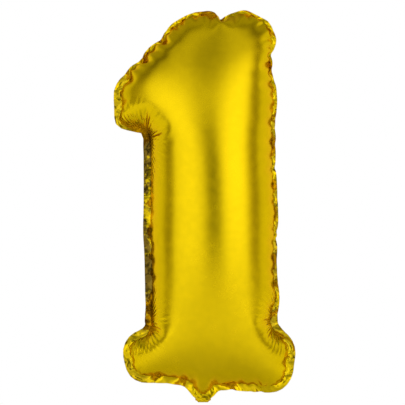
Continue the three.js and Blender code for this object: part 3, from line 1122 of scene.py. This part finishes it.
@dataclass(frozen=True)
class GoldFilm:
    """Metallised film under gold lacquer."""

    name: str
    color: tuple[float, float, float]
    rough: float  # inside the seam
    rough_edge: float  # along the sealed edge
    coat: float
    coat_rough: float
    crinkle: float  # height of the crinkles along the sealed edge, in mm
    crinkle_body: float  # the same inside the seam
    fan: float  # height of the fans of creases, in mm
    facets: float = 105.0  # crinkles in a metre
    clouds: float = 14.0  # slow changes of tone in a metre
    painted_shards: float = 20.0  # painted dark reflections along the sealed edge, as shards in a metre
    edge_color: tuple[float, float, float] = (0.85, 0.6, 0.02)  # seen at a grazing angle
    painted_reflection_tone: tuple[float, float, float] = (0.15, 0.095, 0.01)  # painted dark reflection along the crinkled sealed edge, the colour that its shards darken to

    def build(self, groups: Groups) -> bpy.types.Material:
        """Makes the material.

        Args:
            groups: The shared effects by name.

        Returns:
            The material.
        """
        material, nodes = new_material(self.name)
        place = nodes.add("UVMap", uv_map="flat_cut").outputs["UV"]
        gap = nodes.add("Attribute", attribute_name="seam_gap").outputs["Fac"]
        gloss = nodes.add("Attribute", attribute_name="edge_gloss").outputs["Fac"]
        clouds = nodes.effect(groups["mottle"], Place=place, Scale=self.clouds)
        sealed = nodes.spread(gap, -1.5 * MM, 0.5 * MM, 0.0, 1.0)
        edge = nodes.math("MULTIPLY", sealed, nodes.math("MULTIPLY", gloss, 2.0, clamp=True))
        rough = nodes.blend(edge, self.rough, self.rough_edge)
        nodes.surface(
            {
                "Base Color": self._tone(nodes, groups, place, clouds, sealed, gloss),
                "Metallic": 1.0,
                "Roughness": nodes.math("MULTIPLY", rough, nodes.spread(clouds, 0.3, 0.7, 0.9, 1.1)),
                "Coat Weight": self.coat,
                "Coat Roughness": self.coat_rough,
                "Coat IOR": 1.5,
                "Specular Tint": (*self.edge_color, 1.0),
                "Normal": self._relief(nodes, groups, place, gap, edge),
            }
        )
        return material

    def _tone(
        self, nodes: Nodes, groups: Groups, place: Socket, clouds: Socket, sealed: Socket, gloss: Socket
    ) -> Socket:
        """The film's colour: a little duller in clouds, and darker in shards of painted dark reflection along the
        crinkled sealed edge.

        Args:
            nodes: The material's nodes.
            groups: The shared effects by name.
            place: The place on the cut sheet.
            clouds: Slow clouds round a half.
            sealed: 1 along the sealed edge and 0 inside the seam.
            gloss: How mirror-like the sealed edge is, which also sets how deep its painted dark reflection is.

        Returns:
            The colour.
        """
        dull = tuple(c * 0.9 for c in self.color)
        share = nodes.spread(clouds, 0.35, 0.65, 0.0, 1.0)
        tone = nodes.blend_color(share, (*dull, 1.0), (*self.color, 1.0))
        # Painted dark reflection: patches along the glossy sealed edge darken towards a deep brown, standing in
        # for dark surroundings mirrored there.
        reflection_shard = nodes.effect(groups["mottle"], Place=place, Scale=self.painted_shards)
        deep = nodes.math("MULTIPLY", sealed, nodes.math("MULTIPLY", gloss, gloss))
        dark = nodes.math("MULTIPLY", deep, nodes.spread(reflection_shard, 0.49, 0.57, 1.0, 0.1))
        return nodes.blend_color(dark, tone, (*self.painted_reflection_tone, 1.0))

    def _relief(self, nodes: Nodes, groups: Groups, place: Socket, gap: Socket, edge: Socket) -> Socket:
        """The finest creases: crinkles along the sealed edge, and a fan at each inner corner inside the seam.

        Args:
            nodes: The material's nodes.
            groups: The shared effects by name.
            place: The place on the cut sheet.
            gap: Distance outwards from the seam, in metres.
            edge: 1 along the crinkled sealed edge and 0 elsewhere.

        Returns:
            The bumped normal.
        """
        depth = nodes.blend(edge, self.crinkle_body, self.crinkle)
        crinkle = nodes.effect(groups["crinkle"], Place=place, Facets=self.facets)
        height = nodes.math("MULTIPLY", crinkle, depth)
        body = nodes.spread(gap, -3 * MM, 0.0, self.fan, 0.0)
        for fan in FANS:
            corner = (fan.x * MM, fan.z * MM, 0.0)
            inputs = {"Place": place, "Corner": corner, "Creases": fan.creases, "Reach": fan.reach}
            creases = nodes.effect(groups["fan"], **inputs)
            height = nodes.math("ADD", height, nodes.math("MULTIPLY", creases, body))
        return nodes.add("Bump", {"Height": height, "Distance": MM, "Strength": 1.0}).outputs[0]


@dataclass(frozen=True)
class ClearFilm:
    """Thin translucent polyethylene."""

    name: str = "clear_film"
    color: tuple[float, float, float] = (0.9, 0.91, 0.92)
    rough: float = 0.22

    def build(self, groups: Groups) -> bpy.types.Material:
        """Makes the material, a little cloudier in some places than in others.

        Args:
            groups: The shared effects by name.

        Returns:
            The material.
        """
        material, nodes = new_material(self.name)
        place = nodes.add("TexCoord").outputs["Object"]
        clouds = nodes.effect(groups["mottle"], Place=place, Scale=60.0)
        bump = nodes.add("Bump", {"Height": clouds, "Distance": 0.2 * MM, "Strength": 0.6})
        nodes.surface(
            {
                "Base Color": (*self.color, 1.0),
                "Roughness": nodes.spread(clouds, 0.3, 0.7, self.rough, 1.6 * self.rough),
                "Alpha": nodes.spread(clouds, 0.3, 0.7, 0.45, 0.65),
                "Normal": bump.outputs[0],
            }
        )
        return material


@dataclass(frozen=True)
class PaleFloor:
    """Pale paper that glows faintly, more so far out, so that its edge doesn't show against the white."""

    name: str = "pale_floor"
    color: tuple[float, float, float] = (0.86, 0.86, 0.85)
    near: tuple[float, float] = (0.1, 0.08)  # distance from the middle in metres, and the glow there
    far: tuple[float, float] = (0.95, 0.5)

    def build(self) -> bpy.types.Material:
        """Makes the material.

        Returns:
            The material.
        """
        material, nodes = new_material(self.name)
        place = nodes.add("TexCoord").outputs["Object"]
        grain = nodes.add("TexNoise", {"Vector": place, "Scale": 30.0, "Detail": 3.0})
        level = nodes.add("VectorMath", {0: place, 1: (1.0, 1.0, 0.0)}, operation="MULTIPLY")
        away = nodes.add("VectorMath", {0: level.outputs[0]}, operation="LENGTH").outputs["Value"]
        glow = nodes.spread(away, self.near[0], self.far[0], self.near[1], self.far[1])
        nodes.surface(
            {
                "Base Color": (*self.color, 1.0),
                "Roughness": nodes.spread(grain.outputs["Fac"], 0.3, 0.7, 0.55, 0.65),
                "Emission Color": nodes.add("CombineColor", {0: glow, 1: glow, 2: glow}).outputs[0],
                "Emission Strength": 1.0,
            }
        )
        return material


class Glow(NamedTuple):
    """How bright the surroundings are at one angle round from the camera's side."""

    degrees: float  # positive to the right, as the camera sees it
    light: float


@dataclass(frozen=True)
class Surroundings:
    """Soft light from all round, from the world alone. The foil mirrors it, and the camera itself sees white."""

    ring: tuple[Glow, ...] = (
        Glow(-180, 0.7),
        Glow(-152, 1.3),  # behind, to the left
        Glow(-125, 1.0),
        Glow(-103, 1.0),
        Glow(-95, 0.3),  # gap at the left
        Glow(-79, 0.3),
        Glow(-72, 1.5),  # left softbox
        Glow(-29, 1.75),
        Glow(-14, 1.0),
        Glow(0, 0.95),  # round the camera
        Glow(12, 1.0),
        Glow(27, 1.8),  # right softbox
        Glow(61, 1.95),
        Glow(73, 0.48),  # gap at the right
        Glow(91, 0.28),
        Glow(99, 1.05),
        Glow(125, 1.0),
        Glow(152, 1.3),  # behind, to the right
        Glow(180, 0.7),
    )
    dim: float = 0.7  # light below this is a little warm
    warmth: float = 0.87  # green and blue there, as a share of red
    high: tuple[float, float, float] = (0.36, 0.63, 0.44)  # where it starts and stops to dim, and what is left
    low: tuple[float, float, float] = (-0.4, 0.0, 0.72)  # the same for downwards, all by the sine of the height
    patch_middle: tuple[float, float, float] = (0.05, -1.0, 0.0)  # direction of a dim patch round the camera
    patch_shape: tuple[float, float, float] = (1.0, 1.0, 0.75)  # its heights count for less, so it stands tall
    patch: tuple[float, float, float] = (0.08, 0.34, 0.22)  # its inner and outer radius, and the light inside
    gain: float = 2.0  # a colour ramp holds no more than 1, so it holds half the light

    def _round(self, nodes: Nodes, x: Socket, y: Socket) -> Socket:
        """The light by the angle round from the camera's side, which is the arctangent of x over -y.

        Args:
            nodes: The world's nodes.
            x: The direction's x.
            y: Its y.

        Returns:
            The colour, at half its strength.
        """
        turn = nodes.math("ARCTAN2", x, nodes.math("MULTIPLY", y, -1.0))
        share = nodes.math("MULTIPLY_ADD", turn, 0.5 / math.pi, 0.5)
        node = nodes.add("ValToRGB", {"Fac": share})
        stops = node.color_ramp
        stops.interpolation = "B_SPLINE"
        while len(stops.elements) < len(self.ring):
            stops.elements.new(0.5)
        for element, (degrees, light) in zip(stops.elements, self.ring):
            element.position = degrees / 360 + 0.5
            warm = self.warmth if light < self.dim else 1.0
            half = light / self.gain
            element.color = (half, half * warm, half * warm, 1.0)
        return node.outputs["Color"]

    def _level(self, nodes: Nodes, way: Socket, up: Socket) -> Socket:
        """How much of the ring's light there is at a height, and less in a patch round the camera.

        Args:
            nodes: The world's nodes.
            way: The direction.
            up: Its z, which is the sine of its height.

        Returns:
            The factor.
        """
        high = nodes.spread(up, self.high[0], self.high[1], 1.0, self.high[2])
        low = nodes.spread(up, self.low[0], self.low[1], self.low[2], 1.0)
        ahead = nodes.add("VectorMath", {0: way, 1: self.patch_middle}, operation="SUBTRACT")
        shape = nodes.add("VectorMath", {0: ahead.outputs[0], 1: self.patch_shape}, operation="MULTIPLY")
        off = nodes.add("VectorMath", {0: shape.outputs[0]}, operation="LENGTH").outputs["Value"]
        patch = nodes.spread(off, self.patch[0], self.patch[1], self.patch[2], 1.0)
        level = nodes.math("MULTIPLY", nodes.math("MULTIPLY", high, low), patch)
        return nodes.math("MULTIPLY", level, self.gain)

    def build(self) -> None:
        """Makes the world."""
        world = bpy.data.worlds.new("studio")
        bpy.context.scene.world = world
        world.use_nodes = True
        nodes = Nodes(world.node_tree)
        way = nodes.add("TexCoord").outputs["Generated"]
        split = nodes.add("SeparateXYZ", {0: way}).outputs
        ring, level = self._round(nodes, split[0], split[1]), self._level(nodes, way, split[2])
        light = nodes.add("VectorMath", {0: ring, "Scale": level}, operation="SCALE").outputs[0]
        shown = nodes.add("Background", {"Color": (1.0, 1.0, 1.0, 1.0), "Strength": 1.0})
        soft = nodes.add("Background", {"Color": light, "Strength": 1.0})
        straight = nodes.add("LightPath").outputs["Is Camera Ray"]
        mix = nodes.add("MixShader", {0: straight, 1: soft.outputs[0], 2: shown.outputs[0]})
        nodes.add("OutputWorld", {"Surface": mix.outputs[0]})


@dataclass
class Studio:
    """Pale floor, soft light all round and the camera."""

    distance: float = 2.2
    lens: float = 205.7  # mm
    sensor: float = 36.0  # mm
    clip: tuple[float, float] = (0.05, 60.0)
    aim: tuple[float, float] = (-0.0023, 0.00405)  # x and z that the camera looks at
    drop: float = 0.35  # from the balloon's lowest point to the floor
    floor_radii: tuple[float, float] = (0.05, 3.4)  # of its innermost and outermost rings
    rings: int = 24
    spokes: int = 96

    def floor(self) -> None:
        """A wide disc below, as rings of points whose radii grow by a constant ratio."""
        low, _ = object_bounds()
        rings, spokes = self.rings, self.spokes
        radius = np.geomspace(*self.floor_radii, rings)[:, None]
        angle = np.linspace(0, math.tau, spokes, endpoint=False)
        x, y = radius * np.cos(angle), radius * np.sin(angle)
        z = np.full(rings * spokes + 1, low.z - self.drop)
        points = np.stack([np.append(x.ravel(), 0), np.append(y.ravel(), 0), z], 1)
        ring, spoke = np.meshgrid(np.arange(rings - 1), np.arange(spokes), indexing="ij")
        a, b = (ring * spokes + spoke).ravel(), (ring * spokes + (spoke + 1) % spokes).ravel()
        quads = np.stack([a, a + spokes, b + spokes, b], 1)
        first = np.arange(spokes)
        middle = np.stack([np.full(spokes, rings * spokes), first, (first + 1) % spokes], 1)
        mesh = bpy.data.meshes.new("floor")
        mesh.from_pydata(points.tolist(), [], quads.tolist() + middle.tolist())
        mesh.materials.append(PaleFloor().build())
        floor = bpy.data.objects.new("floor", mesh)
        bpy.context.scene.collection.objects.link(floor)
        floor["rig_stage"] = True

    def camera(self) -> None:
        """A long lens straight in front."""
        low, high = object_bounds()
        middle = (low + high) / 2
        data = bpy.data.cameras.new("camera")
        data.lens, data.sensor_width = self.lens, self.sensor
        data.clip_start, data.clip_end = self.clip
        camera = bpy.data.objects.new("camera", data)
        camera.location = (self.aim[0], middle.y - self.distance, self.aim[1])
        camera.rotation_euler = (math.pi / 2, 0, 0)
        bpy.context.scene.collection.objects.link(camera)
        bpy.context.scene.camera = camera

    def build(self) -> None:
        """Sets up the whole studio."""
        self.camera()
        self.floor()
        Surroundings().build()
        scene = bpy.context.scene
        scene.view_settings.view_transform = "Standard"
        scene.view_settings.look = "None"


FINISHES: dict[Slot, GoldFilm | ClearFilm] = {
    Slot.SATIN: GoldFilm(
        name="satin_gold_film",
        color=(0.68, 0.48, 0.002),
        rough=0.26,
        rough_edge=0.12,
        coat=0.02,
        coat_rough=0.2,
        crinkle=0.8,
        crinkle_body=0.0,
        fan=0.28,
    ),
    Slot.MIRROR: GoldFilm(
        name="mirror_gold_film",
        color=(0.64, 0.44, 0.003),
        rough=0.2,
        rough_edge=0.12,
        coat=0.05,
        coat_rough=0.08,
        crinkle=0.9,
        crinkle_body=0.02,
        fan=0.22,
    ),
    Slot.FUSED: GoldFilm(
        name="fused_film",
        color=(0.5, 0.34, 0.01),
        rough=0.3,
        rough_edge=0.3,
        coat=0.1,
        coat_rough=0.2,
        crinkle=0.2,
        crinkle_body=0.1,
        fan=0.0,
    ),
    Slot.CLEAR: ClearFilm(),
}


def main() -> None:
    """Builds the balloon, dresses it and sets up the studio."""
    logging.basicConfig(level=logging.INFO, format="%(name)s: %(message)s")
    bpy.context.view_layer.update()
    groups = {"crinkle": crinkle_group(), "mottle": mottle_group(), "fan": fan_group()}
    finish = {slot: film.build(groups) for slot, film in FINISHES.items()}
    balloon = Balloon()
    balloon.blow_up()
    made = {**balloon.build(), **Tail().build()}
    for piece in made.values():
        piece.data.materials.append(finish[Slot(piece["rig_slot"])])
    for name in ("valve_front_film", "valve_back_film"):
        node = frame["nodes"][name]
        node.data.materials.clear()
        node.data.materials.append(finish[Slot.CLEAR])
        log.info("%s: kept as packed", name)
    Studio().build()


if __name__ == "__main__":
    main()
